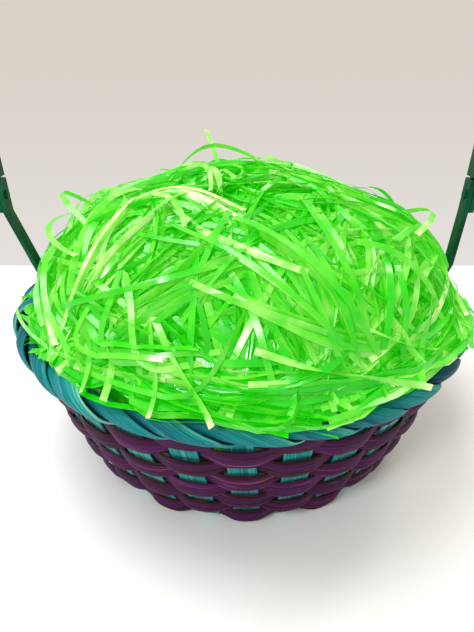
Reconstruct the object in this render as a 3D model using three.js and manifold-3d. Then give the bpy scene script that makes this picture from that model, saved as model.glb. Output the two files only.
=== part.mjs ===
// Round woven basket with a folding hoop handle, filled with loose decorative grass.
// Units are millimetres. +Z is up, the origin is the middle of the underside, -Y is the front.
// The hoop stands in the XZ plane and folds towards the front or the back about the X axis.
import * as THREE from "three";
import { mergeVertices } from "three/addons/utils/BufferGeometryUtils.js";
import Module from "manifold-3d";

const wasm = await Module();
wasm.setup();

// ---- driving dimensions ----
const rimOuterRadius = 152; // over the rolled border
const rimHeight = 99; // middle of the border above the table
const wallTopInset = 11; // from the border's outside to the middle of the wall under it
const wallBaseInset = 36.5; // from the border's outside to the middle of the wall at the table
const wallBulge = 2.7; // how far the wall swells out half way up
const baseTurnRadius = 6.5; // bend where the stakes turn up

const stakeCount = 30; // two for each strip
const lengthwiseStrips = 7; // strips that cross the base from back to front
const stakeWidth = 15;
const stakeThickness = 0.9;
const padGap = 3; // between neighbouring strips in the plaited base

const weaverRows = 8;
const weaverTopDrop = 11; // from the middle of the border down to the uppermost row
const weaverFootHeight = 9.6; // middle of the lowest row
const weaverRowGap = 1.6; // between one row and the next
const weaverThickness = 1;
const weaverSwing = 2.6; // how far a weaver passes in front of and behind the stakes

const borderDepth = 13.7; // across the rolled border, measured in the radial direction
const borderRise = 9.7; // through the rolled border
const borderTilt = THREE.MathUtils.degToRad(20); // its outer side hangs lower
const borderTurnPitches = 2.57; // stake pitches for one full turn of a tail round the core
const borderTailWidth = 28; // a tail's width measured along the rim
const borderTailEnd = THREE.MathUtils.degToRad(-50); // where a tail tucks in under the border
const borderShoulder = THREE.MathUtils.degToRad(135); // where its inner side turns over to its top

const handleWidth = 9;
const plyThickness = 3; // the hoop is two plies thick, an ear is one
const pivotAboveRim = 70;
const rightPivotInset = 7.5; // right ear's inner face at the pivot, in from the border's outside
const leftPivotOverhang = 1.5; // left ear's inner face at the pivot, out past the border
const rightBendAboveRim = 22; // above here the right ear stands nearly upright
const rightBendInset = 9; // its inner face there, in from the border's outside
const legAbovePivot = 36; // straight side of the hoop before it bows over
const lapAbovePivot = 10; // how far an ear runs on above its pin
const lapBelowPivot = 11; // how far the hoop's outer ply runs down past the pin
const earFootHeight = 14; // lower end of an ear inside the wall
const notchDepth = 0.55; // how far an ear sits between two tails, past the border's inner side
const pinRadius = 1.5;
const pinHeadRadius = 3;
const pinHeadHeight = 1.1;

const grassApexAboveRim = 88;
const grassFloor = 3.4; // underside of the filling, on the plaited base

// ---- clearances ----
const layerGap = 0.35; // between two strips that cross
const lapGap = 0.35; // between the plies of a lap, and under the pin heads
const pinGap = 0.3; // between a pin and its hole
const earGap = 1.4; // between an ear and the weavers behind it
const shoulderGap = 1.7; // between an ear and the border's inner shoulder
const grassGap = 1.2; // between the filling and the ears

// ---- sizes that follow ----
const pitchAngle = (2 * Math.PI) / stakeCount;
const crosswiseStrips = stakeCount / 2 - lengthwiseStrips;
const padPitch = stakeWidth + padGap;
const borderCentreRadius = rimOuterRadius - borderDepth / 2;
const pivotHeight = rimHeight + pivotAboveRim;
const rightPivotX = rimOuterRadius - rightPivotInset;
const leftPivotX = -rimOuterRadius - leftPivotOverhang;
const weaverTopHeight = rimHeight - weaverTopDrop;
const weaverPitch = (weaverTopHeight - weaverFootHeight) / (weaverRows - 1);
const weaverWidth = weaverPitch - weaverRowGap;
const wallTopRadius = rimOuterRadius - wallTopInset;
const wallBaseRadius = rimOuterRadius - wallBaseInset;
const wallTopHeight = weaverTopHeight + weaverWidth / 2;
const wallSlope = (wallTopRadius - wallBaseRadius) / wallTopHeight;
const wallLean = Math.atan(wallSlope);
const padHalfLength = ((crosswiseStrips - 1) * padPitch + stakeWidth) / 2;
const padHalfBreadth = ((lengthwiseStrips - 1) * padPitch + stakeWidth) / 2;

// ---- materials ----
const material = (color, roughness) =>
  new THREE.MeshStandardMaterial({ color, roughness, metalness: 0 });
const tealBamboo = material(0x2aa6a6, 0.55);
const violetBamboo = material(0x6a2a5c, 0.55);
const plainBamboo = material(0xb08d55, 0.6);
const greenHandle = material(0x02613a, 0.4);
const grassPlastic = material(0x4fb52a, 0.3);

// ---- helpers ----
function onCircle(angle, radius, height) {
  return new THREE.Vector3(radius * Math.sin(angle), -radius * Math.cos(angle), height);
}

function alongRim(angle) {
  return new THREE.Vector3(Math.cos(angle), Math.sin(angle), 0);
}

/** A vector in the upright plane at an angle round the basket. */
function inSection(angle, outward, up) {
  return new THREE.Vector3(outward * Math.sin(angle), -outward * Math.cos(angle), up);
}

function bare(geometry) {
  geometry.deleteAttribute("normal");
  geometry.deleteAttribute("uv");
  return mergeVertices(geometry, 1e-4);
}

/** A box bent along its stations; each has its middle, half its width and half its thickness. */
function ribbon(stations) {
  const last = stations.length - 1;
  const geometry = bare(new THREE.BoxGeometry(2, 2, 1, 1, 1, last));
  const place = geometry.attributes.position;
  for (let i = 0; i < place.count; i++) {
    const station = stations[Math.round((place.getZ(i) + 0.5) * last)];
    const point = station.middle
      .clone()
      .addScaledVector(station.across, place.getX(i))
      .addScaledVector(station.through, place.getY(i));
    place.setXYZ(i, point.x, point.y, point.z);
  }
  return geometry;
}

function solid(geometry) {
  const merged = geometry.attributes.normal ? bare(geometry) : geometry;
  return new wasm.Manifold(
    new wasm.Mesh({
      numProp: 3,
      vertProperties: new Float32Array(merged.attributes.position.array),
      triVerts: new Uint32Array(merged.index.array),
    }),
  );
}

function asGeometry(manifold) {
  const mesh = manifold.getMesh();
  const geometry = new THREE.BufferGeometry();
  geometry.setAttribute("position", new THREE.BufferAttribute(mesh.vertProperties, 3));
  geometry.setIndex(new THREE.BufferAttribute(mesh.triVerts, 1));
  return geometry;
}

const basket = new THREE.Group();

function add(name, geometry, finish, parent = basket) {
  const mesh = new THREE.Mesh(geometry, finish);
  mesh.name = name;
  parent.add(mesh);
  return mesh;
}

// ---- the wall ----
/** Radius of the middle of the wall at a height. */
function wallRadius(height) {
  const share = THREE.MathUtils.clamp(height / wallTopHeight, 0, 1);
  return wallBaseRadius + wallSlope * height + 4 * wallBulge * share * (1 - share);
}

/** One arm of a strip: out over the base, up the wall, over the border and down outside it. */
function stakeArm(index, padLevel) {
  const angle = index * pitchAngle;
  const half = stakeThickness / 2;
  const along = alongRim(angle).multiplyScalar(stakeWidth / 2);
  const turn = Math.PI / 2 - wallLean;
  const turnLength = baseTurnRadius * Math.tan(turn / 2);
  const turnStart = wallRadius(0) + wallSlope * half - turnLength;
  const stations = [];
  const addStation = (radius, height, rise) =>
    stations.push({
      middle: onCircle(angle, radius, height),
      across: along,
      through: inSection(angle, -half * Math.sin(rise), half * Math.cos(rise)),
    });
  addStation(turnStart - baseTurnRadius, padLevel, 0);
  addStation(turnStart, half, 0);
  for (const share of [0.5, 1]) {
    const bend = turn * share;
    addStation(
      turnStart + baseTurnRadius * Math.sin(bend),
      half + baseTurnRadius * (1 - Math.cos(bend)),
      bend,
    );
  }
  for (const share of [0.12, 0.4, 0.7, 1]) {
    const height = wallTopHeight * share;
    addStation(wallRadius(height), height, turn);
  }
  return [...stations, ...borderTail(angle)];
}

/** The border's section: a tilted ellipse round the core. */
function borderSection(turn, radial, upright) {
  const outward = radial * Math.cos(turn);
  const up = upright * Math.sin(turn);
  return {
    radius: borderCentreRadius + outward * Math.cos(borderTilt) + up * Math.sin(borderTilt),
    height: rimHeight - outward * Math.sin(borderTilt) + up * Math.cos(borderTilt),
  };
}

/** A stake's free end, wound over the core towards the next stakes. */
function borderTail(stakeAngle) {
  const half = stakeThickness / 2;
  const steps = 5;
  const stations = [];
  for (let step = 0; step <= steps; step++) {
    const turn = THREE.MathUtils.lerp(Math.PI, borderTailEnd, step / steps);
    const shift = ((Math.PI - turn) / (2 * Math.PI)) * borderTurnPitches * pitchAngle;
    const angle = stakeAngle + shift;
    const spread = Math.min(step / 2, 1);
    const width = THREE.MathUtils.lerp(stakeWidth, borderTailWidth, spread);
    const at = borderSection(turn, borderDepth / 2 - half, borderRise / 2 - half);
    const outer = borderSection(turn, borderDepth / 2, borderRise / 2);
    stations.push({
      middle: onCircle(angle, at.radius, at.height),
      across: alongRim(angle).multiplyScalar(width / 2),
      through: inSection(angle, outer.radius - at.radius, outer.height - at.height),
    });
  }
  return stations;
}

/** Height of the middle of a strip where it passes over or under in the plaited base. */
function padLevel(over) {
  return stakeThickness / 2 + (over ? stakeThickness + layerGap : 0);
}

/** True where a lengthwise strip passes over a crosswise one; the middle strip lies lowest. */
function lengthwiseOver(lengthwise, crosswise) {
  const fromMiddle = Math.abs(crosswise - (crosswiseStrips - 1) / 2) - 0.5;
  return (Math.abs(lengthwise - (lengthwiseStrips - 1) / 2) + fromMiddle) % 2 === 1;
}

/** The flat stretch of a strip over the base, in the direction it runs. */
function padStretch(place, direction, across, crossings, isOver) {
  const stations = [];
  for (let crossing = 0; crossing < crossings; crossing++) {
    const middle = (crossing - (crossings - 1) / 2) * padPitch;
    for (const edge of [-stakeWidth / 2, stakeWidth / 2]) {
      stations.push({
        middle: place
          .clone()
          .addScaledVector(direction, middle + edge)
          .setZ(padLevel(isOver(crossing))),
        across: across.clone().multiplyScalar(stakeWidth / 2),
        through: new THREE.Vector3(0, 0, stakeThickness / 2),
      });
    }
  }
  return stations;
}

function turnedRound(stations) {
  return stations
    .map((station) => ({ ...station, across: station.across.clone().negate() }))
    .reverse();
}

/** A whole strip: down one wall, through the plaited base and up the other. */
function stripGeometry(stretch, firstArm, lastArm) {
  const startLevel = stretch[0].middle.z;
  const endLevel = stretch[stretch.length - 1].middle.z;
  return ribbon([
    ...turnedRound(stakeArm(firstArm, startLevel)),
    ...stretch,
    ...stakeArm(lastArm, endLevel),
  ]);
}

for (let strip = 0; strip < lengthwiseStrips; strip++) {
  const offset = strip - (lengthwiseStrips - 1) / 2;
  const stretch = padStretch(
    new THREE.Vector3(offset * padPitch, 0, 0),
    new THREE.Vector3(0, -1, 0),
    new THREE.Vector3(1, 0, 0),
    crosswiseStrips,
    (crossing) => lengthwiseOver(strip, crossing),
  );
  const geometry = stripGeometry(stretch, stakeCount / 2 - offset, offset);
  add(`stake_strip_lengthwise_${strip + 1}`, geometry, tealBamboo);
}

for (let strip = 0; strip < crosswiseStrips; strip++) {
  const offset = strip - (crosswiseStrips - 1) / 2;
  const stretch = padStretch(
    new THREE.Vector3(0, offset * padPitch, 0),
    new THREE.Vector3(1, 0, 0),
    new THREE.Vector3(0, 1, 0),
    lengthwiseStrips,
    (crossing) => !lengthwiseOver(crossing, strip),
  );
  const quarter = stakeCount / 4;
  const geometry = stripGeometry(stretch, 3 * quarter - offset, quarter + offset);
  add(`stake_strip_crosswise_${strip + 1}`, geometry, tealBamboo);
}

// ---- weavers ----
/** A closed ring that passes in front of one stake and behind the next. */
function weaverGeometry(row) {
  const height = weaverTopHeight - row * weaverPitch;
  const alongWall = new THREE.Vector2(Math.sin(wallLean), Math.cos(wallLean));
  const throughWall = new THREE.Vector2(alongWall.y, -alongWall.x);
  const corner = (up, out) =>
    new THREE.Vector2(wallRadius(height), height)
      .addScaledVector(alongWall, (up * weaverWidth) / 2)
      .addScaledVector(throughWall, (out * weaverThickness) / 2);
  const outline = [corner(-1, -1), corner(-1, 1), corner(1, 1), corner(1, -1), corner(-1, -1)];
  const columns = 2 * stakeCount;
  const geometry = bare(new THREE.LatheGeometry(outline, columns));
  const place = geometry.attributes.position;
  for (let i = 0; i < place.count; i++) {
    const radius = Math.hypot(place.getX(i), place.getZ(i));
    const column = Math.round((Math.atan2(place.getX(i), place.getZ(i)) / Math.PI) * stakeCount);
    const stake = Math.floor((column + columns) / 2);
    const side = column % 2 === 0 ? -1 : 1;
    const angle = (stake + side / 3) * pitchAngle;
    const swing = (stake + row) % 2 === 0 ? -weaverSwing : weaverSwing;
    const point = onCircle(angle, radius + swing, place.getY(i));
    place.setXYZ(i, point.x, point.y, point.z);
  }
  return geometry;
}

for (let row = 0; row < weaverRows; row++) {
  add(`weaver_row_${row + 1}`, weaverGeometry(row), violetBamboo);
}

// ---- rim core ----
/** The hoop that the stake tails are wound over. */
function rimCoreGeometry() {
  const tailDip = borderTailWidth ** 2 / (8 * rimOuterRadius);
  const inset = stakeThickness + layerGap + tailDip + 0.4;
  const sides = 8;
  const outline = [];
  for (let side = 0; side <= sides; side++) {
    const turn = (side / sides) * 2 * Math.PI;
    const at = borderSection(turn, borderDepth / 2 - inset, borderRise / 2 - inset);
    outline.push(new THREE.Vector2(at.radius, at.height));
  }
  return bare(new THREE.LatheGeometry(outline, 2 * stakeCount).rotateX(Math.PI / 2));
}

add("rim_core", rimCoreGeometry(), plainBamboo);

// ---- handle ----
/** A strip of one thickness whose inner face follows the points, extruded across the handle. */
function bentStrip(innerFace, side) {
  const outline = new THREE.Shape();
  const outerFace = innerFace.map((point) => new THREE.Vector2(point.x + side * plyThickness, point.y));
  [...innerFace, ...outerFace.reverse()].forEach((point, i) =>
    i === 0 ? outline.moveTo(point.x, point.y) : outline.lineTo(point.x, point.y),
  );
  return acrossHandle(outline);
}

/** Extrudes an outline drawn in X and Z over the handle's width, centred on Y = 0. */
function acrossHandle(outline) {
  return new THREE.ExtrudeGeometry(outline, { depth: handleWidth, bevelEnabled: false, curveSegments: 24 })
    .translate(0, 0, -handleWidth / 2)
    .rotateX(Math.PI / 2);
}

function pinHole(inner, outer) {
  const hole = new THREE.CylinderGeometry(
    pinRadius + pinGap,
    pinRadius + pinGap,
    Math.abs(outer - inner) + 2 * plyThickness,
    16,
  );
  hole.rotateZ(Math.PI / 2).translate((inner + outer) / 2, 0, pivotHeight);
  return solid(hole);
}

/** Inner face of an ear inside the basket, in line with the wall. */
function earRadius(height) {
  return wallRadius(height) - weaverSwing - weaverThickness / 2 - earGap - plyThickness;
}

/** Where an ear's inner face passes the border's inner side, in the notch between two tails. */
function earNotch() {
  const innerSide = borderSection(Math.PI, borderDepth / 2, borderRise / 2);
  return { radius: innerSide.radius + notchDepth - plyThickness, height: innerSide.height };
}

function earGeometry(side, pivotX, bends) {
  const inside = [earFootHeight, wallTopHeight / 2, wallTopHeight].map(
    (height) => new THREE.Vector2(side * earRadius(height), height),
  );
  const notch = earNotch();
  const shoulder = borderSection(borderShoulder, borderDepth / 2, borderRise / 2);
  const atShoulder = side * (shoulder.radius - shoulderGap - plyThickness);
  const lapFoot = pivotHeight - lapBelowPivot - lapGap;
  const above = [
    [side * notch.radius, notch.height],
    [atShoulder, shoulder.height],
    ...bends,
    [pivotX, lapFoot],
    [pivotX, pivotHeight + lapAbovePivot],
  ].map(([x, height]) => new THREE.Vector2(x, height));
  const strip = solid(bentStrip([...inside, ...above], side));
  return asGeometry(strip.subtract(pinHole(pivotX, pivotX + side * plyThickness)));
}

/** The hoop: straight legs and a half round bow. Its ends lose the inner ply over the ears. */
function hoopGeometry() {
  const rightFace = rightPivotX + plyThickness + lapGap;
  const leftFace = leftPivotX - plyThickness - lapGap;
  const outerRadius = (rightFace - leftFace) / 2 + plyThickness;
  const innerRadius = outerRadius - 2 * plyThickness;
  const centreX = (rightFace + leftFace) / 2;
  const bowHeight = pivotHeight + legAbovePivot;
  const ring = new THREE.Shape();
  ring.moveTo(centreX + outerRadius, pivotHeight - lapBelowPivot);
  ring.lineTo(centreX + outerRadius, bowHeight);
  ring.absarc(centreX, bowHeight, outerRadius, 0, Math.PI, false);
  ring.lineTo(centreX - outerRadius, pivotHeight - lapBelowPivot);
  ring.lineTo(centreX - innerRadius, pivotHeight - lapBelowPivot);
  ring.lineTo(centreX - innerRadius, bowHeight);
  ring.absarc(centreX, bowHeight, innerRadius, Math.PI, 0, true);
  ring.lineTo(centreX + innerRadius, pivotHeight - lapBelowPivot);
  const shoulder = Math.hypot(lapAbovePivot, handleWidth / 2) + 1.5 * lapGap;
  const lap = new THREE.BoxGeometry(
    rightFace - leftFace,
    handleWidth + 2,
    lapBelowPivot + shoulder + 1,
  ).translate(centreX, 0, pivotHeight + (shoulder - lapBelowPivot - 1) / 2);
  return asGeometry(
    solid(acrossHandle(ring))
      .subtract(solid(lap))
      .subtract(pinHole(rightFace, rightFace + plyThickness))
      .subtract(pinHole(leftFace, leftFace - plyThickness)),
  );
}

/** A headed pin through both plies of a lap, along X. */
function pinGeometry(side, pivotX) {
  const inner = pivotX - side * lapGap;
  const outer = pivotX + side * (2 * plyThickness + 2 * lapGap);
  const half = Math.abs(outer - inner) / 2;
  const headEdge = half + pinHeadHeight / 2;
  const headTop = half + pinHeadHeight;
  const outline = [
    [0, -headTop],
    [pinHeadRadius / 2, -headTop],
    [pinHeadRadius, -headEdge],
    [pinHeadRadius, -half],
    [pinRadius, -half],
    [pinRadius, half],
    [pinHeadRadius, half],
    [pinHeadRadius, headEdge],
    [pinHeadRadius / 2, headTop],
    [0, headTop],
  ].map(([radius, along]) => new THREE.Vector2(radius, along));
  return bare(new THREE.LatheGeometry(outline, 16).rotateZ(Math.PI / 2))
    .translate((inner + outer) / 2, 0, pivotHeight);
}

const rightBends = [[rimOuterRadius - rightBendInset, rimHeight + rightBendAboveRim]];
add("ear_right", earGeometry(1, rightPivotX, rightBends), greenHandle);
add("ear_left", earGeometry(-1, leftPivotX, []), greenHandle);
add("handle_hoop", hoopGeometry(), greenHandle);
add("pin_right", pinGeometry(1, rightPivotX), greenHandle);
add("pin_left", pinGeometry(-1, leftPivotX), greenHandle);

// ---- grass filling ----
/** Loose grass taken as one body: it fills the basket and heaps up over the rim. */
function grassGeometry() {
  const sideRadius = (height) => earRadius(height) - grassGap;
  const mouth = Math.min(sideRadius(rimHeight), earNotch().radius - grassGap);
  const outline = [new THREE.Vector2(0, grassFloor)];
  for (const height of [grassFloor, rimHeight / 3, (2 * rimHeight) / 3, rimHeight]) {
    outline.push(new THREE.Vector2(Math.min(sideRadius(Math.max(height, earFootHeight)), mouth), height));
  }
  outline[1].x = sideRadius(earFootHeight) - grassFloor;
  const steps = 7;
  for (let step = 1; step <= steps; step++) {
    const turn = (step / steps) * (Math.PI / 2);
    const height = rimHeight + grassApexAboveRim * Math.sin(turn);
    outline.push(new THREE.Vector2(step === steps ? 0 : mouth * Math.cos(turn), height));
  }
  return bare(new THREE.LatheGeometry(outline, 36).rotateX(Math.PI / 2));
}

add("grass_fill", grassGeometry(), grassPlastic);

export default basket;
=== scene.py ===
# %% [markdown]
# # A round Easter basket in woven bamboo splint
#
# The basket is a plaited base whose strips turn up as thirty stakes, eight rows of wide
# weavers, a wound border made of the stakes' own ends, a folding hoop handle on two ears,
# and a heap of shredded green film. The imported CAD model is the frame: every place below
# comes from its boxes, and each new piece moves with its body; most also stand for one CAD node.

# %% Load the frame
import math
import random

import bmesh
import bpy
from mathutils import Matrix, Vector


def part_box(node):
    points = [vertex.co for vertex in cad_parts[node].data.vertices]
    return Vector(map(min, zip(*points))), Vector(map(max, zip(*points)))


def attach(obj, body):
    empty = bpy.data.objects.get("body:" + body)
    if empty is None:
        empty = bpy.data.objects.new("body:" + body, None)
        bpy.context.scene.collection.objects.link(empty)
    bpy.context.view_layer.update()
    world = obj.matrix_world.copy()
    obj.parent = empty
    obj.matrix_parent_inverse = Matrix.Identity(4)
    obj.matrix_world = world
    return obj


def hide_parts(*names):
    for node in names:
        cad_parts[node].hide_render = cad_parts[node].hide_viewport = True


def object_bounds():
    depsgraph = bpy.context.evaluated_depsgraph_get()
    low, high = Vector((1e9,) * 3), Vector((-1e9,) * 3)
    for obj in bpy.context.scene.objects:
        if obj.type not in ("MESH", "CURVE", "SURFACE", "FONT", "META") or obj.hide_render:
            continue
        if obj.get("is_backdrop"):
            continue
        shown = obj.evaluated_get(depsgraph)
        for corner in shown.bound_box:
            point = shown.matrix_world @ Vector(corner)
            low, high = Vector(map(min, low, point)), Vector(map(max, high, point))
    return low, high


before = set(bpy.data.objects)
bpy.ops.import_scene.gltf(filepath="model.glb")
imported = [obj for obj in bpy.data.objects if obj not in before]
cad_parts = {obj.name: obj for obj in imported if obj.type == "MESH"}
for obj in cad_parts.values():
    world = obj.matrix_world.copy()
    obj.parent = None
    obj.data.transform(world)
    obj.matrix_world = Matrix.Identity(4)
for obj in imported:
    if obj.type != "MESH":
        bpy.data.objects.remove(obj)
cad_low, cad_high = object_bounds()
MM = 0.001
print("CAD box in mm:", [round(v / MM) for v in (*cad_low, *cad_high)])

# %% [markdown]
# ## The camera
#
# The basket is seen from a little above and in front, thirty degrees down. The lens is
# 27 mm, as on a phone, and so close to the basket that the near side of the rim looks
# much larger than the far side. The camera is placed from the rim, so it follows the
# model.

# %% Camera
core_low, core_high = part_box("rim_core")
RIM_HEIGHT = (core_low.z + core_high.z) / 2
RIM_RADIUS = cad_high.y
CAMERA_ASIDE = -0.024 * RIM_RADIUS
CAMERA_DISTANCE = 2.019 * RIM_RADIUS
CAMERA_HEIGHT = RIM_HEIGHT + 1.029 * RIM_RADIUS
CAMERA_TURN = math.radians(59.9)

camera_data = bpy.data.cameras.new("camera")
camera_data.lens = 27.06
camera_data.sensor_width = 36
camera = bpy.data.objects.new("camera", camera_data)
camera.location = (CAMERA_ASIDE, -CAMERA_DISTANCE, CAMERA_HEIGHT)
camera.rotation_euler = (CAMERA_TURN, 0, 0)
bpy.context.collection.objects.link(camera)
bpy.context.scene.camera = camera
print("rim radius and height in mm:", round(RIM_RADIUS / MM), round(RIM_HEIGHT / MM))

# %% [markdown]
# ## Helpers for materials
#
# Colours are picked as sRGB hex values, but shaders count in linear light, so one function
# turns them. Another adds a node with its settings and links in one call, which keeps each
# material below readable from its textures at the top to its shader at the end.

# %% Material helpers
def linear(hex_colour):
    """An sRGB hex value as the linear colour that shaders take."""
    parts = [int(hex_colour[i : i + 2], 16) / 255 for i in (1, 3, 5)]
    return (*(p / 12.92 if p <= 0.04045 else ((p + 0.055) / 1.055) ** 2.4 for p in parts), 1)


def add_node(tree, kind, settings=None, links=None):
    """Adds a node; settings are its input values or properties, links its input sockets."""
    node = tree.nodes.new(kind)
    for name, value in (settings or {}).items():
        if isinstance(name, int) or name in node.inputs:
            node.inputs[name].default_value = value
        else:
            setattr(node, name, value)
    for name, socket in (links or {}).items():
        tree.links.new(socket, node.inputs[name])
    return node


def new_material(name):
    """An empty material, its tree and its output node."""
    material = bpy.data.materials.new(name)
    material.use_nodes = True
    material.node_tree.nodes.clear()
    output = add_node(material.node_tree, "ShaderNodeOutputMaterial")
    return material, material.node_tree, output


def colour_ramp(tree, factor, stops):
    """A ramp through (position, hex colour) stops."""
    node = add_node(tree, "ShaderNodeValToRGB", links={"Fac": factor})
    elements = node.color_ramp.elements
    while len(elements) < len(stops):
        elements.new(0.5)
    for element, (position, colour) in zip(elements, stops):
        element.position = position
        element.color = linear(colour)
    return node


# %% [markdown]
# ## Studio light
#
# The light is soft and comes from everywhere: an even world of the wall's own grey fills
# the shadows. A broad lamp overhead puts a shadow under the basket, and two small bright
# ones give the film its white glints, because a glint is only as bright as the lamp it
# mirrors. The Standard view transform keeps the strong greens of the film, which a filmic
# one would wash out.

# %% Lamps, world and view
WALL_GREY = "#d9d2c9"


def add_area_light(name, place, target, size, power, colour="#ffffff"):
    """A round lamp aimed at a point; size is its diameter in metres, power in watts."""
    data = bpy.data.lights.new(name, "AREA")
    data.shape = "DISK"
    data.size = size
    data.energy = power
    data.color = linear(colour)[:3]
    lamp = bpy.data.objects.new(name, data)
    lamp.location = place
    lamp.rotation_euler = (Vector(target) - Vector(place)).to_track_quat("-Z", "Y").to_euler()
    bpy.context.collection.objects.link(lamp)
    return lamp


world = bpy.data.worlds.new("studio")
bpy.context.scene.world = world
world.use_nodes = True
background = world.node_tree.nodes["Background"]
background.inputs["Color"].default_value = linear(WALL_GREY)
background.inputs["Strength"].default_value = 1.0
basket_middle = (0, 0, RIM_HEIGHT)
add_area_light("ceiling", (-0.35, 0.1, 1.2), basket_middle, 0.8, 10)
add_area_light("window", (-0.5, -0.75, 0.9), basket_middle, 0.3, 5)
add_area_light("lamp", (0.55, 0.35, 0.9), basket_middle, 0.22, 1.6, "#fff4e2")
bpy.context.scene.view_settings.view_transform = "Standard"

# %% [markdown]
# ## A pale table
#
# The table is one large lacquered board, white near the basket. Behind its edge the same
# plane glows in the wall's grey instead of taking light, so it melts into the world with
# no horizon. The grey runs in even steps of the view, so it follows one over the distance.

# %% Table
TABLE_HALF_SIZE = 6
TABLE_EDGE = 0.262
TABLE_GAP = 0.2 * MM
EDGE_BLUR = 6 * MM
FARTHEST = 0.09

table_bm = bmesh.new()
bmesh.ops.create_grid(table_bm, x_segments=2, y_segments=2, size=TABLE_HALF_SIZE)
table_mesh = bpy.data.meshes.new("table")
table_bm.to_mesh(table_mesh)
table_bm.free()
table = bpy.data.objects.new("table", table_mesh)
table.location.z = -TABLE_GAP
bpy.context.collection.objects.link(table)
table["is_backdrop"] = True

lacquer, tree, output = new_material("white_lacquered_board")
coords = add_node(tree, "ShaderNodeTexCoord")
axes = add_node(tree, "ShaderNodeSeparateXYZ", links={0: coords.outputs["Object"]})
behind = add_node(
    tree,
    "ShaderNodeMapRange",
    {"From Min": TABLE_EDGE, "From Max": TABLE_EDGE + EDGE_BLUR},
    {"Value": axes.outputs["Y"]},
)
white = add_node(
    tree, "ShaderNodeBsdfPrincipled", {"Base Color": linear("#f5f6f8"), "Roughness": 0.55}
)
distance = add_node(
    tree, "ShaderNodeMath", {"operation": "ADD", 1: CAMERA_DISTANCE}, {0: axes.outputs["Y"]}
)
nearness = add_node(
    tree,
    "ShaderNodeMath",
    {"operation": "DIVIDE", 0: TABLE_EDGE + CAMERA_DISTANCE},
    {1: distance.outputs[0]},
)
far = add_node(
    tree, "ShaderNodeMapRange", {"From Min": 1.0, "From Max": FARTHEST}, {"Value": nearness.outputs[0]}
)
wall_tone = colour_ramp(tree, far.outputs["Result"], [(0, "#e6e1de"), (1, WALL_GREY)])
grey = add_node(tree, "ShaderNodeEmission", {"Strength": 1.0}, {"Color": wall_tone.outputs["Color"]})
both = add_node(
    tree,
    "ShaderNodeMixShader",
    links={0: behind.outputs["Result"], 1: white.outputs["BSDF"], 2: grey.outputs["Emission"]},
)
tree.links.new(both.outputs["Shader"], output.inputs["Surface"])
table.data.materials.append(lacquer)
print("table material:", lacquer.name)

# %% [markdown]
# ## Dyed splint
#
# Splint is bamboo split with the grain and planed to under a millimetre. Dye soaks in
# unevenly, so one strip shows dark fibres, bright fibres and a few that stayed pale, all
# running lengthwise. Each strip carries its own UV map in millimetres, along and across,
# so one material can lay fibres half a millimetre wide on any strip, however it bends.
# A point attribute named tone makes one strip lighter or darker than the next; it also carries the painted
# highlight and shade along the edges of plies and border strands.

# %% Splint material
# Sizes along and across the strip in millimetres, as its UV map counts.
FIBRE_SIZE = (60, 0.9)
BAND_SIZE = (70, 3.2)
PALE_SIZE = (22, 0.9)
PALE_START, PALE_FULL = 0.72, 0.92


def along_strip(uv, size):
    """Mapping that stretches a noise to a size along and across a strip."""
    scale = (1 / size[0], 1 / size[1], 1)
    return add_node(uv.id_data, "ShaderNodeMapping", {"Scale": scale}, {0: uv.outputs[0]})


def splint_material(name, stops, pale_colour, pale_share):
    """Dyed bamboo splint: stops run from the darkest to the lightest fibre."""
    material, tree, output = new_material(name)
    uv = add_node(tree, "ShaderNodeUVMap", {"uv_map": "strip"})
    fibre_place = along_strip(uv, FIBRE_SIZE)
    fibres = add_node(
        tree, "ShaderNodeTexNoise", {"Scale": 1.0, "Detail": 4.0}, {"Vector": fibre_place.outputs[0]}
    )
    band_place = along_strip(uv, BAND_SIZE)
    bands = add_node(
        tree, "ShaderNodeTexNoise", {"Scale": 1.0, "Detail": 2.0}, {"Vector": band_place.outputs[0]}
    )
    tone = add_node(tree, "ShaderNodeAttribute", {"attribute_name": "tone"})
    mixed = add_node(
        tree,
        "ShaderNodeMath",
        {"operation": "MULTIPLY_ADD", 1: 0.55},
        {0: bands.outputs["Fac"], 2: fibres.outputs["Fac"]},
    )
    toned = add_node(
        tree, "ShaderNodeMath", {"operation": "ADD"}, {0: mixed.outputs[0], 1: tone.outputs["Fac"]}
    )
    spread = add_node(
        tree, "ShaderNodeMapRange", {"From Min": 0.35, "From Max": 1.3}, {"Value": toned.outputs[0]}
    )
    dyed = colour_ramp(tree, spread.outputs["Result"], stops)
    pale_place = along_strip(uv, PALE_SIZE)
    pale_place.inputs["Location"].default_value = (9, 4, 0)
    pale_noise = add_node(
        tree, "ShaderNodeTexNoise", {"Scale": 1.0, "Detail": 3.0}, {"Vector": pale_place.outputs[0]}
    )
    pale = add_node(
        tree,
        "ShaderNodeMapRange",
        {"From Min": PALE_START - pale_share, "From Max": PALE_FULL - pale_share},
        {"Value": pale_noise.outputs["Fac"]},
    )
    colour = add_node(
        tree,
        "ShaderNodeMix",
        {"data_type": "RGBA", 7: linear(pale_colour)},
        {0: pale.outputs["Result"], 6: dyed.outputs["Color"]},
    )
    bump = add_node(
        tree, "ShaderNodeBump", {"Strength": 0.55, "Distance": 0.25 * MM}, {"Height": mixed.outputs[0]}
    )
    shader = add_node(
        tree,
        "ShaderNodeBsdfPrincipled",
        {"Roughness": 0.5, "IOR": 1.5, "Specular IOR Level": 0.12},
        {"Base Color": colour.outputs[2], "Normal": bump.outputs["Normal"]},
    )
    tree.links.new(shader.outputs["BSDF"], output.inputs["Surface"])
    return material


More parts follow.
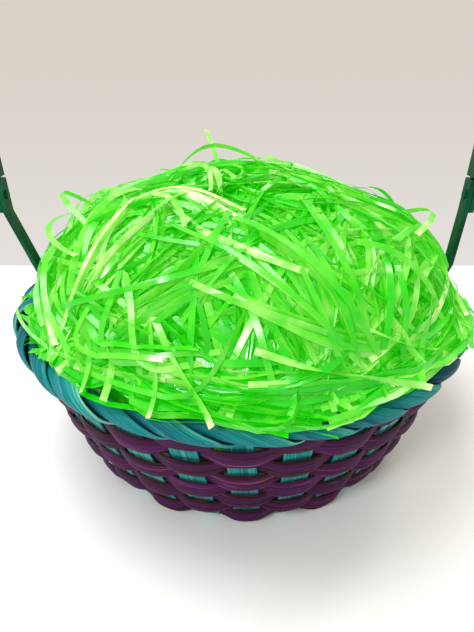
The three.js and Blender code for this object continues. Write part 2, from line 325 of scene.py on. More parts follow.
teal_splint = splint_material(
    "teal_dyed_bamboo_splint",
    [(0.0, "#02202a"), (0.25, "#054a5c"), (0.5, "#0c747c"), (0.7, "#1f8f85"), (1.0, "#83c8b8")],
    "#9fd0c2",
    0.06,
)
violet_splint = splint_material(
    "violet_dyed_bamboo_splint",
    [(0.0, "#12020a"), (0.25, "#360a22"), (0.5, "#40094e"), (0.72, "#5c1c4c"), (1.0, "#96587e")],
    "#7c4466",
    0.12,
)
print("splint materials:", teal_splint.name, violet_splint.name)

# %% [markdown]
# ## A strip as a bent grid
#
# Every strip of splint or film starts as a flat grid, as it would on the bench. One
# function then says where each point of the strip goes: how far along, from 0 to 1, and
# how far across, from -1 to 1. The flat size goes into the UV map before the strip is
# bent, so the grain keeps its scale. Solidify gives the strip its thickness at the end.

# %% Strip and piece helpers
SHARP_ANGLE = math.radians(35)


def start_mesh():
    """An empty bmesh with the strip UV map and the tone attribute."""
    bm = bmesh.new()
    bm.loops.layers.uv.new("strip")
    bm.verts.layers.float.new("tone")
    return bm


def bend_strip(bm, cells, size, place, tone, uv_shift):
    """Adds a strip of (along, across) cells and (length, width) in mm, bent by place(t, v)."""
    along, across = cells
    uv_layer = bm.loops.layers.uv["strip"]
    tone_layer = bm.verts.layers.float["tone"]
    made = bmesh.ops.create_grid(bm, x_segments=across, y_segments=along, size=1)["verts"]
    for face in {face for vert in made for face in vert.link_faces}:
        face.smooth = True
        for loop in face.loops:
            flat = loop.vert.co
            loop[uv_layer].uv = (
                (flat.y + 1) / 2 * size[0] + uv_shift[0],
                flat.x / 2 * size[1] + uv_shift[1],
            )
    for vert in made:
        vert[tone_layer] = tone(vert.co.x)
        vert.co = place((vert.co.y + 1) / 2, vert.co.x)
    return made


def make_piece(name, bm, material, stands_for, thickness=None):
    """Turns a bmesh into a named piece of the basket that stands for a CAD node."""
    if thickness:
        bmesh.ops.solidify(bm, geom=bm.faces[:], thickness=thickness)
    bmesh.ops.recalc_face_normals(bm, faces=bm.faces[:])
    mesh = bpy.data.meshes.new(name)
    bm.to_mesh(mesh)
    bm.free()
    mesh.set_sharp_from_angle(angle=SHARP_ANGLE)
    mesh.materials.append(material)
    piece = bpy.data.objects.new(name, mesh)
    bpy.context.collection.objects.link(piece)
    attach(piece, "basket")
    if stands_for:
        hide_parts(stands_for)
    return piece


def on_circle(angle, radius, height):
    """A point round the basket; angle 0 is the front and grows to the right."""
    return Vector((radius * math.sin(angle), -radius * math.cos(angle), height))


def smooth(share):
    share = min(max(share, 0), 1)
    return share * share * (3 - 2 * share)


def mix(a, b, share):
    return a + (b - a) * share


# %% [markdown]
# ## The wall, read from the frame
#
# The wall leans out by about eighteen degrees and swells a little half way up. Each CAD
# weaver row gives one point of it: the top edge of its box, less what a weaver stands
# proud. Between those points the wall is a straight line, and below the lowest row it
# keeps its last slope.

# %% Wall profile
STAKES = 30
PITCH = 2 * math.pi / STAKES
ROWS = 8
CAD_PROUD = 3.1 * MM

rows = []
for row in range(ROWS):
    low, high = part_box(f"weaver_row_{row + 1}")
    rows.append(((low.z + high.z) / 2, high.z, high.x - CAD_PROUD))


def wall_radius(height):
    """Radius of the middle of the wall at a height, in metres."""
    points = [(top, radius) for _, top, radius in rows]
    for (z1, r1), (z0, r0) in zip(points, points[1:]):
        if height >= z0 or (z0, r0) == points[-1]:
            return r0 + (height - z0) * (r1 - r0) / (z1 - z0)


WALL_SKEW = math.radians(1.4)


def skew(height):
    """The wall's slight twist: the winding of the border pulls the stakes' tops round."""
    return mix(WALL_SKEW, -WALL_SKEW, height / RIM_HEIGHT)


WALL_LEAN = math.atan2(rows[0][2] - rows[-1][2], rows[0][1] - rows[-1][1])
ROW_PITCH = (rows[0][0] - rows[-1][0]) / (ROWS - 1)
print("wall lean in degrees:", round(math.degrees(WALL_LEAN), 1), "row pitch:", round(ROW_PITCH / MM, 2))

# %% [markdown]
# ## Weavers
#
# A weaver is a bundle of thin splints laid edge over edge like shingles, about 14 mm wide
# where it lies over a stake. Where it dives behind the next stake, its neighbours squeeze
# it narrower, and that gives the wall its lens-shaped scales. A ring like this is a closed
# band: a small outline is spun once round the axis, and a formula then swings every point
# in and out between the stakes.

# %% Weavers
WEAVER_FRONT_WIDTH = 14.2 * MM
WEAVER_BACK_WIDTH = 10.2 * MM
WEAVER_FRONT_SWING = 2.3 * MM
WEAVER_BACK_SWING = 1.9 * MM
WEAVER_CROWN = 1.0 * MM
PLIES = 6
PLY_THICKNESS = 0.4 * MM
PLY_SHINGLE = 0.42 * MM
PLY_EDGE_LIGHT_AND_SHADE = 0.13
WEAVER_STEPS = STAKES * 10
random.seed(11)


def swing_share(angle, row):
    """+1 where a weaver passes in front of a stake, -1 where it passes behind."""
    wave = -math.cos(angle / PITCH * math.pi) * (-1) ** row
    return wave * (1.4 - 0.4 * wave * wave)


def ply_outline(middle, half):
    """A ply's outline: (place across the weaver, place through it)."""
    edge = PLY_THICKNESS / 2
    lower, upper = middle - half, middle + half
    return [
        (lower, PLY_SHINGLE - edge),
        (middle, -edge),
        (upper, -PLY_SHINGLE - edge),
        (upper, -PLY_SHINGLE + edge * 0.4),
        (middle, edge * 1.3),
        (lower, PLY_SHINGLE + edge * 0.4),
    ]


def spin_band(bm, outline, steps):
    """Spins a closed outline of (across, through) points into a unit ring; gives its points."""
    before = len(bm.verts)
    loop = [bm.verts.new((1 + through, 0, across)) for across, through in outline]
    edges = [bm.edges.new((a, b)) for a, b in zip(loop, loop[1:] + loop[:1])]
    bmesh.ops.spin(
        bm,
        geom=loop + edges,
        cent=(0, 0, 0),
        axis=(0, 0, 1),
        dvec=(0, 0, 0),
        angle=2 * math.pi,
        steps=steps,
        use_merge=True,
    )
    bm.verts.ensure_lookup_table()
    return bm.verts[before:]


def weaver_ply(bm, row, ply):
    """One splint of a weaver bundle, right round the basket."""
    uv_layer = bm.loops.layers.uv["strip"]
    tone_layer = bm.verts.layers.float["tone"]
    middle = (2 * ply + 1) / PLIES - 1
    ring = spin_band(bm, ply_outline(middle, 1.16 / PLIES), WEAVER_STEPS)
    row_height, _, _ = rows[row]
    row_radius = wall_radius(row_height)
    phases = [random.uniform(0, 2 * math.pi) for _ in range(4)]
    # Rows further above or below the fourth are a little darker.
    tone = random.uniform(-0.24, 0.14) - 0.03 * abs(row - 3)
    shift = random.uniform(0, 500)
    flat = {}
    for vert in ring:
        angle = math.atan2(vert.co.x, -vert.co.y)
        vert_across = vert.co.z
        flat[vert] = (angle, vert_across)
        through = math.hypot(vert.co.x, vert.co.y) - 1
        swing = swing_share(angle, row)
        front = (swing + 1) / 2
        width = mix(WEAVER_BACK_WIDTH, WEAVER_FRONT_WIDTH, front)
        wander = 0.22 * math.sin(5 * angle + phases[0]) + 0.16 * math.sin(13 * angle + phases[1])
        lift = 0.14 * math.sin(7 * angle + phases[2]) + 0.1 * math.sin(19 * angle + phases[3])
        up = vert.co.z * width / 2 + wander * MM
        out = through + lift * MM + WEAVER_CROWN * (1 - vert.co.z**2) * front
        out += swing * (WEAVER_FRONT_SWING if swing > 0 else WEAVER_BACK_SWING)
        vert.co = on_circle(
            angle + skew(row_height),
            row_radius + up * math.sin(WALL_LEAN) + out * math.cos(WALL_LEAN),
            row_height + up * math.cos(WALL_LEAN) - out * math.sin(WALL_LEAN),
        )
        # Painted highlight and shade: each ply is lighter along its proud lower edge and darker where its
        # upper edge tucks under the next ply.
        vert[tone_layer] = tone + PLY_EDGE_LIGHT_AND_SHADE * (middle - vert_across) * PLIES
    for face in {face for vert in ring for face in vert.link_faces}:
        face.smooth = True
        base = flat[face.verts[0]][0]
        for loop in face.loops:
            angle, across = flat[loop.vert]
            angle = base + (angle - base + math.pi) % (2 * math.pi) - math.pi
            loop[uv_layer].uv = (
                angle * row_radius / MM + shift,
                across * WEAVER_FRONT_WIDTH / 2 / MM + 40 * ply,
            )


for row in range(ROWS):
    bm = start_mesh()
    for ply in range(PLIES):
        weaver_ply(bm, row, ply)
    node = f"weaver_row_{row + 1}"
    make_piece(f"woven_{node}", bm, violet_splint, node)
print("weaver rows:", ROWS, "of", PLIES, "plies")

# %% [markdown]
# ## Stake strips and the wound border
#
# Fifteen long strips make the base, the stakes and the border. Seven run from back to
# front and eight from side to side; they are plaited over and under one another on the
# base, fan out, turn up the wall and become thirty stakes. At the top each stake goes
# inside the rim hoop, over it, and winds on round it past the next two stakes. A wide
# strip wound on a thin hoop curls round it, so the border is laid on a tube: a point's
# place along the strip moves it round the rim and down the tube, and its place across
# the strip moves it square to that. One edge lies under the neighbour and one over it.

# %% Stake strip paths
LENGTHWISE, CROSSWISE = 7, 8
PAD_PITCH = 18 * MM
STAKE_WIDTH = 15 * MM
STAKE_THICKNESS = 0.9 * MM
LAYER_RISE = 1.25 * MM
BASE_TURN = 6.5 * MM
PAD_SAMPLES = 6
TURN_STEPS, WALL_STEPS = 5, 18


def pad_level(crossings, place, is_over):
    """Height of a strip's middle at a place along it, from its overs and unders."""
    position = place / PAD_PITCH + (crossings - 1) / 2
    first = min(max(math.floor(position), 0), crossings - 1)
    second = min(first + 1, crossings - 1)
    share = smooth((position - first - 0.3) / 0.4)
    level = mix(float(is_over(first)), float(is_over(second)), share)
    return STAKE_THICKNESS / 2 + LAYER_RISE * level


def lengthwise_over(lengthwise, crosswise):
    """The same plait as the CAD base: the middle strip lies lowest at the centre."""
    from_middle = abs(crosswise - (CROSSWISE - 1) / 2) - 0.5
    return (abs(lengthwise - (LENGTHWISE - 1) / 2) + from_middle) % 2 == 1


def arm_stations(index, level):
    """Stations (middle, half width vector) from the fan over the base turn and up the wall."""
    half = STAKE_THICKNESS / 2
    turn = math.pi / 2 - WALL_LEAN
    start = wall_radius(half) - BASE_TURN * math.tan(turn / 2)
    stations = [(start - BASE_TURN, level), (start - BASE_TURN / 2, mix(level, half, 0.5)), (start, half)]
    for step in range(1, TURN_STEPS + 1):
        bend = turn * step / TURN_STEPS
        stations.append(
            (start + BASE_TURN * math.sin(bend), half + BASE_TURN * (1 - math.cos(bend)))
        )
    turn_top = stations[-1][1]
    wall_top = RIM_HEIGHT - 4 * MM
    for step in range(1, WALL_STEPS + 1):
        height = mix(turn_top, wall_top, step / WALL_STEPS)
        ripple = 0.45 * MM * math.cos((height - rows[index % 2][0]) / ROW_PITCH * math.pi)
        stations.append((wall_radius(height) + ripple, height))
    stations.append((wall_radius(wall_top) - 1.6 * MM, wall_top + 3 * MM))
    arm = []
    for radius, height in stations:
        angle = index * PITCH + skew(height)
        half_width = Vector((math.cos(angle), math.sin(angle), 0)) * STAKE_WIDTH / 2
        arm.append((on_circle(angle, radius, height), half_width))
    return arm


def turned_round(stations):
    return [(middle, -half_width) for middle, half_width in reversed(stations)]


def pad_stations(offset, direction, across, crossings, is_over):
    """The flat stretch of a strip through the plaited base."""
    reach = ((crossings - 1) * PAD_PITCH + STAKE_WIDTH) / 2
    count = crossings * PAD_SAMPLES
    stations = []
    for step in range(count + 1):
        place = mix(-reach, reach, step / count)
        middle = offset + direction * place
        middle.z = pad_level(crossings, place, is_over)
        stations.append((middle, across * STAKE_WIDTH / 2))
    return stations


def add_strip(bm, stations, tone, uv_shift):
    """Bends one flat strip along its stations."""
    last = len(stations) - 1
    length = sum((b[0] - a[0]).length for a, b in zip(stations, stations[1:]))

    def place(t, v):
        middle, half_width = stations[round(t * last)]
        return middle + half_width * v

    bend_strip(bm, (last, 4), (length / MM, STAKE_WIDTH / MM), place, lambda v: tone, (uv_shift, 0))


# %% Border strands
BORDER_DEPTH = 13.7 * MM
BORDER_RISE = 9.7 * MM
BORDER_TILT = math.radians(20)
BORDER_LEAD = 2.57 * PITCH
STRAND_WIDTH = 15.5 * MM
STRAND_CROWN = 2.0 * MM
STRAND_SHINGLE = 1.7 * MM
STRAND_EDGE_LIGHT_AND_SHADE = 0.27
STRAND_INSET = 3.2 * MM
STRAND_CELLS = (32, 8)
LOOSE_SIDE = math.radians(-75)
LOOSE_SPREAD = 0.6
LOOSE_EXTRA = 2.2
STRAND_START = math.radians(215)
STRAND_END = math.radians(-92)
BORDER_RADIUS = RIM_RADIUS - BORDER_DEPTH / 2
TUBE = (BORDER_DEPTH + BORDER_RISE) / 4
random.seed(23)


def border_point(angle, turn, lift):
    """A point on the border's tilted oval tube, lifted off it."""
    outward = (BORDER_DEPTH / 2 - STRAND_INSET + lift) * math.cos(turn)
    up = (BORDER_RISE / 2 - STRAND_INSET / 2 + lift) * math.sin(turn)
    return on_circle(
        angle,
        BORDER_RADIUS + outward * math.cos(BORDER_TILT) + up * math.sin(BORDER_TILT),
        RIM_HEIGHT - outward * math.sin(BORDER_TILT) + up * math.cos(BORDER_TILT),
    )


def add_border_strand(bm, stake, tone, uv_shift):
    """A stake's end, wound over the rim hoop towards the next stakes."""
    helix = math.atan2(2 * math.pi * TUBE, BORDER_LEAD * BORDER_RADIUS)
    away = (stake * PITCH - LOOSE_SIDE + math.pi) % (2 * math.pi) - math.pi
    looseness = 1 + LOOSE_EXTRA * math.exp(-((away / LOOSE_SPREAD) ** 2))
    loose = random.uniform(0, 0.9) * looseness * MM
    width = STRAND_WIDTH * random.uniform(0.93, 1.06) / (1 + 0.1 * (looseness - 1))
    sway = random.uniform(-1, 1) * math.radians(6) * looseness
    length = (STRAND_START - STRAND_END) * TUBE / math.sin(helix)

    def place(t, v):
        taper = 1 - 0.45 * smooth((t - 0.8) / 0.2)
        reach = v * width / 2 * taper
        turn = mix(STRAND_START, STRAND_END, t) + sway * math.sin(math.pi * t)
        turn += reach * math.cos(helix) / TUBE
        wound = (STRAND_START - mix(STRAND_START, STRAND_END, t)) / (2 * math.pi)
        angle = stake * PITCH + wound * BORDER_LEAD
        angle += reach * math.sin(helix) / BORDER_RADIUS - PITCH / 3
        crown = STRAND_CROWN * (1 - v * v)
        over = STRAND_SHINGLE * v
        rise = loose * math.sin(math.pi * smooth((t - 0.15) / 0.75))
        return border_point(angle, turn, crown + over + rise)

    # Painted highlight and shade: the edge that lies over the neighbour is lighter, the edge tucked under
    # it darker.
    def tone_with_painted_edges(v):
        return tone + STRAND_EDGE_LIGHT_AND_SHADE * (v**3 if v > 0 else 1.4 * v**3)

    bend_strip(bm, STRAND_CELLS, (length / MM, width / MM), place, tone_with_painted_edges, (uv_shift, 30))


# %% Build the fifteen strips
def build_strip(name, stretch, first_index, last_index):
    """One strip: border strand, stake, base, stake and border strand again."""
    bm = start_mesh()
    shift = random.uniform(0, 900)
    stations = turned_round(arm_stations(first_index, stretch[0][0].z))
    stations += stretch + arm_stations(last_index, stretch[-1][0].z)
    add_strip(bm, stations, random.uniform(0.1, 0.24), shift)
    for index in (first_index, last_index):
        add_border_strand(bm, index, random.uniform(-0.26, 0.2), shift + 200 * index)
    make_piece(f"plaited_{name}", bm, teal_splint, name, STAKE_THICKNESS)


for strip in range(LENGTHWISE):
    offset = strip - (LENGTHWISE - 1) / 2
    stretch = pad_stations(
        Vector((offset * PAD_PITCH, 0, 0)),
        Vector((0, -1, 0)),
        Vector((1, 0, 0)),
        CROSSWISE,
        lambda crossing: lengthwise_over(strip, crossing),
    )
    build_strip(f"stake_strip_lengthwise_{strip + 1}", stretch, int(STAKES / 2 - offset), int(offset))

for strip in range(CROSSWISE):
    offset = strip - (CROSSWISE - 1) / 2
    stretch = pad_stations(
        Vector((0, offset * PAD_PITCH, 0)),
        Vector((1, 0, 0)),
        Vector((0, 1, 0)),
        LENGTHWISE,
        lambda crossing: not lengthwise_over(crossing, strip),
    )
    quarter = STAKES / 4
    build_strip(
        f"stake_strip_crosswise_{strip + 1}", stretch, int(3 * quarter - offset), int(quarter + offset)
    )
print("strips:", LENGTHWISE + CROSSWISE, "border strands:", STAKES)

# %% [markdown]
# ## Handle, pegs and rim hoop
#
# The handle is bamboo strip, stained dark green and rubbed smooth. Its shape is right in
# the CAD model, so those nodes stay and only get their finish. They have no UV map, so
# the grain is laid in Object coordinates, stretched along the hoop's plane.

# %% Stained bamboo
# Streaks per metre along the strips and across them.
GRAIN_ALONG = 60
GRAIN_ACROSS = 1400


def bamboo_grain_material(name, dark, light, roughness):
    """Bamboo strip from a dark to a light colour, with its grain drawn as narrow streaks across its width.
    """
    material, tree, output = new_material(name)
    coords = add_node(tree, "ShaderNodeTexCoord")
    grain_scale = (GRAIN_ALONG, GRAIN_ACROSS, GRAIN_ALONG)
    grain_place = add_node(
        tree, "ShaderNodeMapping", {"Scale": grain_scale}, {0: coords.outputs["Object"]}
    )
    grain = add_node(
        tree, "ShaderNodeTexNoise", {"Scale": 1.0, "Detail": 4.0}, {"Vector": grain_place.outputs[0]}
    )
    colour = colour_ramp(tree, grain.outputs["Fac"], [(0.3, dark), (0.7, light)])
    bump = add_node(
        tree, "ShaderNodeBump", {"Strength": 0.3, "Distance": 0.1 * MM}, {"Height": grain.outputs["Fac"]}
    )
    shader = add_node(
        tree,
        "ShaderNodeBsdfPrincipled",
        {"Roughness": roughness, "IOR": 1.5, "Specular IOR Level": 0.12},
        {"Base Color": colour.outputs["Color"], "Normal": bump.outputs["Normal"]},
    )
    tree.links.new(shader.outputs["BSDF"], output.inputs["Surface"])
    return material


green_bamboo = bamboo_grain_material("green_stained_bamboo", "#00301f", "#005c3c", 0.38)
rim_hoop_shade = bamboo_grain_material("rim_hoop_painted_shade", "#03161a", "#07323a", 0.6)
for name in ("handle_hoop", "ear_left", "ear_right", "pin_left", "pin_right"):
    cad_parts[name].material_slots[0].material = green_bamboo
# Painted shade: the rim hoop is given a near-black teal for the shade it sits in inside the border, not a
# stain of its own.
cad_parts["rim_core"].material_slots[0].material = rim_hoop_shade
print("stained nodes: hoop, ears, pegs and rim hoop")

# %% [markdown]
# ## Shredded film
#
# The filling is thin translucent film cut into shreds about 3 mm wide. Light passes
# through several shreds and comes out greener each time, so the heap is a deep clear
# green in its gaps and yellow-green where single shreds lie on top. The shader mixes a
# glossy surface with one that lets light through. A weak glow of the same green stands
# for light that has wandered through the hundreds of shreds below, which aren't modelled.
# The tone attribute runs from 0 in the depth, where the deeper green is painted shade, to 1 at the palest
# tips.

# %% Film material
def film_material(name, stops, glow, through_share, roughness):
    """Glossy translucent film: stops run from the deepest to the palest shred."""
    material, tree, output = new_material(name)
    coords = add_node(tree, "ShaderNodeTexCoord")
    # Painted highlights: noise patches about 14 mm across move the tone up and down, and the lighter
    # patches stand for glints across the shreds.
    highlight_patches = add_node(
        tree, "ShaderNodeTexNoise", {"Scale": 1 / (14 * MM), "Detail": 2.0}, {0: coords.outputs["Object"]}
    )
    centred = add_node(
        tree,
        "ShaderNodeMapRange",
        {"From Min": 0.3, "From Max": 0.7, "To Min": -0.16, "To Max": 0.16},
        {"Value": highlight_patches.outputs["Fac"]},
    )
    tone = add_node(tree, "ShaderNodeAttribute", {"attribute_name": "tone"})
    total = add_node(
        tree, "ShaderNodeMath", {"operation": "ADD"}, {0: tone.outputs["Fac"], 1: centred.outputs["Result"]}
    )
    colour = colour_ramp(tree, total.outputs[0], stops)
    surface = add_node(
        tree,
        "ShaderNodeBsdfPrincipled",
        {"Roughness": roughness, "IOR": 1.6, "Coat Weight": 0.6, "Emission Strength": glow},
        {"Base Color": colour.outputs["Color"], "Emission Color": colour.outputs["Color"]},
    )
    surface.inputs["Coat Roughness"].default_value = 0.12
    through = add_node(tree, "ShaderNodeBsdfTranslucent", links={"Color": colour.outputs["Color"]})
    both = add_node(
        tree,
        "ShaderNodeMixShader",
        {0: through_share},
        {1: surface.outputs["BSDF"], 2: through.outputs["BSDF"]},
    )
    tree.links.new(both.outputs["Shader"], output.inputs["Surface"])
    return material


FILM_STOPS = [
    # The darkest stop is painted shade, reached only by the heap's core inside the basket.
    (0.0, "#053a05"),
    (0.04, "#0cc906"),
    (0.35, "#30d812"),
    (0.6, "#6ce034"),
    (0.85, "#aaea74"),
    (1.0, "#e8f4bf"),
]
film = film_material("green_polypropylene_film", FILM_STOPS, 0.3, 0.42, 0.2)
print("film material:", film.name)

# %% [markdown]
# ## The heap
#
# The heap is a dome over the rim with soft lumps, and loose shreds arch a little higher.
# At its foot it runs out in a skirt over the border, and past that a loose shred hangs
# down outside. All of it is one curve from the top outwards, kept as a list of points one
# millimetre apart, so a place on the heap is a distance travelled down it and an angle.

# %% Heap profile
fill_low, fill_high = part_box("grass_fill")
LOOSE_TOP = 11 * MM
HEAP_HEIGHT = fill_high.z - RIM_HEIGHT - LOOSE_TOP
HEAP_RADIUS = fill_high.x
SKIRT_START = math.radians(70)
SKIRT_LENGTH = 30 * MM
SKIRT_SLOPE = math.radians(22)
HANG_LENGTH = 22 * MM
HANG_SLOPE = math.radians(84)


def trace_profile():
    """Points (radius, height over the rim, slope) down the heap, a millimetre apart."""
    points = [(0.0, HEAP_HEIGHT, 0.0)]
    angle = 0.0
    while angle < SKIRT_START:
        along = math.hypot(HEAP_RADIUS * math.cos(angle), HEAP_HEIGHT * math.sin(angle))
        angle += MM / along
        slope = math.atan2(HEAP_HEIGHT * math.sin(angle), HEAP_RADIUS * math.cos(angle))
        points.append((HEAP_RADIUS * math.sin(angle), HEAP_HEIGHT * math.cos(angle), slope))
    dome_points = len(points)
    foot_slope = points[-1][2]
    for step in range(round((SKIRT_LENGTH + 3 * HANG_LENGTH) / MM)):
        past = step * MM
        slope = mix(foot_slope, SKIRT_SLOPE, smooth(past / SKIRT_LENGTH))
        slope = mix(slope, HANG_SLOPE, smooth((past - SKIRT_LENGTH) / HANG_LENGTH))
        radius, height, _ = points[-1]
        points.append((radius + MM * math.cos(slope), height - MM * math.sin(slope), slope))
    return points, dome_points * MM


profile, DOME_LENGTH = trace_profile()


def lump(x, y):
    """Soft lumps in the heap, in metres."""
    wide = math.sin(x / 0.024 + 1.0) * math.sin(y / 0.021 + 0.4)
    small = math.sin(x / 0.011 + 2.0) * math.sin(y / 0.013 + 1.0)
    return (3.2 * wide + 1.4 * small) * MM


def heap_point(travel, angle, lift):
    """A point over the heap, its outward normal, and the directions down and round it."""
    place = min(max(travel / MM, 0), len(profile) - 1.001)
    first, share = int(place), place % 1
    radius, height, slope = (mix(a, b, share) for a, b in zip(profile[first], profile[first + 1]))
    on_dome = 1 - smooth((travel - DOME_LENGTH) / SKIRT_LENGTH)
    normal = on_circle(angle, math.sin(slope), math.cos(slope))
    down = on_circle(angle, math.cos(slope), -math.sin(slope))
    around = Vector((math.cos(angle), math.sin(angle), 0))
    point = on_circle(angle, radius, RIM_HEIGHT + height)
    lift += lump(point.x, point.y) * on_dome
    return point + normal * lift, normal, down, around


print("heap length in mm, top to foot:", round(DOME_LENGTH / MM))

# %% [markdown]
# ## Locks of shreds
#
# Film comes off the cutter in locks: a dozen shreds that lie nearly parallel and curl
# the same way. So each lock gets one start, heading and curl, and its shreds differ from
# it only a little. A shred is a walk over the heap in short steps, arching off it in the
# middle and rolling about its own length. Every bunch starts as one flat sheet that is
# slit into shreds by deleting every other column, as the real film is. That takes one
# operator for hundreds of shreds.

# %% Shreds
SHRED_WIDTH = 3.4 * MM
SHRED_STEPS = 16
FILM_THICKNESS = 0.12 * MM
BUNCHES = 10
LOCKS_PER_BUNCH = 36
SHREDS_PER_LOCK = 9
# Painted shade and light: deep shreds get a deeper, darker green and top shreds a paler yellow-green, for
# the light filtered by the shreds above.
DEEP_SHADE_TONE, TOP_LIGHT_TONE = 0.22, 0.6
DEEP_LIFT, TOP_LIFT = -4 * MM, 2.5 * MM
EDGE_TURN = 20 * MM
EDGE_BEND = 0.42
SMALLEST_TURN = 15 * MM
SKIRT_LIFT = 1.2 * MM
SKIRT_LAYERING = 0.5
DEEPEST = -5 * MM
SKIRT_BLEND = 9 * MM
SPILL_MEAN, SPILL_SWING = 0.68, 0.12
SPILL_SIDE = math.radians(60)
EAR_REACH = DOME_LENGTH - 4 * MM
EAR_BAND = (0.1, 0.35)
random.seed(5)


def foot_limit(angle, reach):
    """How far down the heap a shred may come: less beside the ears, which stand there."""
    narrow, wide = EAR_BAND
    beside_ear = smooth((wide - abs(math.cos(angle))) / (wide - narrow))
    return mix(reach, min(reach, EAR_REACH), beside_ear)


def walk(travel, angle, heading, length, curl, lift, rise, arch, reach):
    """Stations of one shred walking over the heap: (point, normal, direction)."""
    stations = []
    step = length / SHRED_STEPS
    for index in range(SHRED_STEPS + 1):
        share = index / SHRED_STEPS
        if travel < 0:
            travel, angle, heading = -travel, angle + math.pi, math.pi - heading
        limit = foot_limit(angle, reach)
        if math.cos(heading) > 0:
            near_edge = smooth((travel - limit) / EDGE_TURN + 1)
            heading += math.copysign(EDGE_BEND * near_edge, math.sin(heading))
        travel = min(travel, limit)
        off = lift + rise * share + arch * math.sin(math.pi * share)
        flattened = SKIRT_LIFT + SKIRT_LAYERING * (off - DEEPEST)
        off = mix(off, flattened, smooth((travel - DOME_LENGTH) / SKIRT_BLEND))
        point, normal, down, around = heap_point(travel, angle, off)
        stations.append((point, normal, down * math.cos(heading) + around * math.sin(heading)))
        radius = max(math.hypot(point.x, point.y), SMALLEST_TURN)
        travel += step * math.cos(heading)
        turn = step * math.sin(heading) / radius
        angle += turn
        heading += curl * step - turn * normal.z
    return stations


def spill(angle):
    """Share of the skirt the heap reaches: most at the front right, least at the back left."""
    return SPILL_MEAN + SPILL_SWING * math.cos(angle - SPILL_SIDE)


def slit_sheet(bm, shreds):
    """A flat sheet slit into shreds; gives each point with its shred, side and step."""
    columns = 2 * shreds - 1
    made = bmesh.ops.create_grid(bm, x_segments=columns, y_segments=SHRED_STEPS, size=1)["verts"]
    gaps = [
        face
        for face in bm.faces
        if int((face.calc_center_median().x + 1) / 2 * columns) % 2 == 1
    ]
    places = []
    for vert in made:
        column = round((vert.co.x + 1) / 2 * columns)
        places.append((vert, column // 2, column % 2 * 2 - 1, round((vert.co.y + 1) / 2 * SHRED_STEPS)))
    bmesh.ops.delete(bm, geom=gaps, context="FACES")
    return places


def make_shreds(name, walks, stands_for=None):
    """A piece of many shreds; walks holds (stations, tone, tip tone, width, roll, twist)."""
    bm = start_mesh()
    tone_layer = bm.verts.layers.float["tone"]
    for vert, shred, side, step in slit_sheet(bm, len(walks)):
        stations, tone, tip_tone, width, roll, twist = walks[shred]
        point, normal, direction = stations[step]
        across = normal.cross(direction).normalized()
        share = step / SHRED_STEPS
        angle = roll + twist * math.sin(2.5 * share + roll)
        lean = across * math.cos(angle) + normal * math.sin(angle)
        vert.co = point + lean * side * width / 2
        vert[tone_layer] = mix(tone, tip_tone, abs(2 * share - 1) ** 5)
    for face in bm.faces:
        face.smooth = True
    return make_piece(name, bm, film, stands_for, FILM_THICKNESS)


def lock_walks(depth):
    """The shreds of one lock; depth is 0 deep in the heap and 1 on top."""
    from_rim = random.random() < 0.5
    angle = random.uniform(0, 2 * math.pi)
    reach = DOME_LENGTH + (spill(angle) + random.triangular(-0.8, 0.35, 0.1)) * SKIRT_LENGTH
    travel = reach if from_rim else DOME_LENGTH * math.sqrt(random.random())
    heading = math.pi + random.gauss(0, 0.8) if from_rim else random.uniform(-math.pi, math.pi)
    length = random.uniform(60, 150) * MM
    curl = random.gauss(0, 6.5)
    lift = mix(DEEP_LIFT, TOP_LIFT, depth)
    arch = abs(random.gauss(0, 3.5)) * depth * MM
    # Painted shade and light: deeper locks are a darker green, locks on top a paler one.
    lock_tone = mix(DEEP_SHADE_TONE, TOP_LIGHT_TONE, depth) + random.gauss(0, 0.14)
    lock_roll = random.gauss(0, 0.35)
    walks = []
    for _ in range(SHREDS_PER_LOCK):
        stations = walk(
            travel + random.gauss(0, 8) * MM,
            angle + random.gauss(0, 8) * MM / (0.25 * HEAP_RADIUS + 0.7 * travel),
            heading + random.gauss(0, 0.2),
            length * random.uniform(0.75, 1.2),
            curl + random.gauss(0, 4),
            lift + random.gauss(0, 1.3) * MM,
            random.gauss(0, 2.5) * depth * MM,
            arch * random.uniform(0.5, 1.7),
            reach + random.gauss(0, 3) * MM,
        )
        tone = min(max(lock_tone + random.gauss(0, 0.12), 0.2), 0.95)
        roll = lock_roll + random.gauss(0, 0.3)
        width = SHRED_WIDTH * random.uniform(0.75, 1.15)
        walks.append((stations, tone, min(tone + 0.15, 1), width, roll, random.gauss(0, 0.55)))
    return walks


for bunch in range(BUNCHES):
    walks = []
    for _ in range(LOCKS_PER_BUNCH):
        walks += lock_walks(bunch / (BUNCHES - 1))
    make_shreds(f"shredded_film_bunch_{bunch + 1}", walks)
print("shreds:", BUNCHES * LOCKS_PER_BUNCH * SHREDS_PER_LOCK)

# %% [markdown]
# ## Strays
#
# A few shreds always escape. These are placed one by one: tips that stand up from the
# top, loops beside the handle, and ends that hang over the border. Each is a walk like
# any other, with its own start and heading, and more rise or arch than the rest.

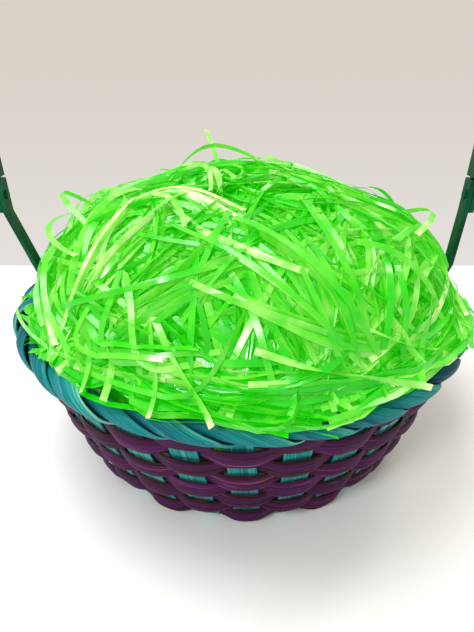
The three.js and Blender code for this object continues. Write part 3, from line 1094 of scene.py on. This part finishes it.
# %% Strays
STRAY_LIFT = 5 * MM
FREE_REACH = 10 * DOME_LENGTH
STRAYS = [
    # angle, travel in mm, heading, length in mm, curl, rise in mm, arch in mm;
    # angles and headings in degrees, curl in radians per metre
    (-164, 60, 10, 16, 4, 30, 0),
    (-150, 66, -70, 40, 8, 10, 2),
    (158, 44, 110, 84, 14, 4, 13),
    (150, 62, 70, 60, -12, 10, 8),
    (-104, 108, 95, 76, 9, 0, 22),
    (-97, 100, 60, 88, 16, 4, 12),
    (98, 106, -80, 70, -12, 6, 12),
    (-66, 132, -18, 40, -10, 9, 0),
    (-78, 130, 14, 40, 9, 2, 4),
    (-72, 126, 40, 52, 16, 2, 5),
    (-118, 130, -24, 44, -12, 3, 5),
    (-97, 124, -6, 50, 0, 12, 2),
    (-34, 126, 30, 50, -4, 0, 2),
    (-46, 124, 50, 60, -6, 0, 2),
    (-58, 124, 30, 46, 14, 3, 4),
    (61, 134, -30, 36, 22, 6, 3),
    (66, 130, 20, 38, -26, 4, 5),
    (-24, 122, 36, 56, -10, 0, 3),
    (-22, 124, 46, 64, -2, 1, 2),
    (2, 136, 72, 92, 1, 0, 3),
    (26, 130, 56, 54, 3, 2, 4),
    (36, 130, 20, 34, -8, 1, 3),
    (-40, 128, 12, 36, 6, 1, 3),
    (140, 122, 10, 42, 6, 2, 3),
    (-140, 120, -14, 42, -8, 2, 4),
    (178, 122, 20, 40, 9, 3, 3),
]
stray_walks = []
for angle, travel, heading, length, curl, rise, arch in STRAYS:
    stations = walk(
        travel * MM,
        math.radians(angle),
        math.radians(heading),
        length * MM,
        curl,
        STRAY_LIFT,
        rise * MM,
        arch * MM,
        FREE_REACH,
    )
    tone = random.uniform(0.5, 0.8)
    roll, twist = random.gauss(0, 0.5), random.gauss(0, 0.8)
    stray_walks.append((stations, tone, 1.0, SHRED_WIDTH, roll, twist))
make_shreds("shredded_film_strays", stray_walks)
print("strays:", len(STRAYS))

# %% [markdown]
# ## The heap's core
#
# Under the shreds a closed body fills the basket, so no gap between them shows daylight.
# It follows the same curve a few millimetres deeper. It is spun from that curve and then
# given the same lumps.

# %% Heap core
CORE_INSET = 6 * MM
PAINTED_SHADE_TONE, CORE_TONE = -0.4, 0.22
PROFILE_STRIDE = 6
CORE_STEPS = 96
core_bm = start_mesh()
FLOOR_RADIUS = HEAP_RADIUS * 0.74
TURN_RADIUS, TURN_HEIGHT = HEAP_RADIUS * 0.8, fill_low.z + 14 * MM
MOUTH_RADIUS, MOUTH_HEIGHT = HEAP_RADIUS * 0.985, RIM_HEIGHT - 4 * MM
outline = [
    (0.0, fill_low.z),
    (FLOOR_RADIUS, fill_low.z),
    (TURN_RADIUS, TURN_HEIGHT),
    (MOUTH_RADIUS, MOUTH_HEIGHT),
]
core_foot = round((DOME_LENGTH + SKIRT_LENGTH / 3) / MM)
for index in range(core_foot, -1, -PROFILE_STRIDE):
    radius, height, slope = profile[index]
    outline.append(
        (max(radius - CORE_INSET * math.sin(slope), 0), RIM_HEIGHT + height - CORE_INSET * math.cos(slope))
    )
outline.append((0.0, RIM_HEIGHT + HEAP_HEIGHT - CORE_INSET))
chain = [core_bm.verts.new((radius, 0, height)) for radius, height in outline]
chain_edges = [core_bm.edges.new(pair) for pair in zip(chain, chain[1:])]
bmesh.ops.spin(
    core_bm,
    geom=chain + chain_edges,
    cent=(0, 0, 0),
    axis=(0, 0, 1),
    dvec=(0, 0, 0),
    angle=2 * math.pi,
    steps=CORE_STEPS,
    use_merge=True,
)
bmesh.ops.remove_doubles(core_bm, verts=core_bm.verts[:], dist=0.01 * MM)
core_tone = core_bm.verts.layers.float["tone"]
for vert in core_bm.verts:
    above = vert.co.z - RIM_HEIGHT
    # Painted shade: below the rim the core turns to the darkest green, which hardly glows, so the inside of
    # the basket looks dark through the weave.
    vert[core_tone] = mix(PAINTED_SHADE_TONE, CORE_TONE, smooth(above / (8 * MM) + 2))
    vert.co.z += lump(vert.co.x, vert.co.y) * smooth(above / (45 * MM) - 0.2)
for face in core_bm.faces:
    face.smooth = True
make_piece("shredded_film_core", core_bm, film, "grass_fill")
print("heap core made")

# %% Sizes
low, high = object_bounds()
print("visual box in mm:", [round(v / MM) for v in (*low, *high)])
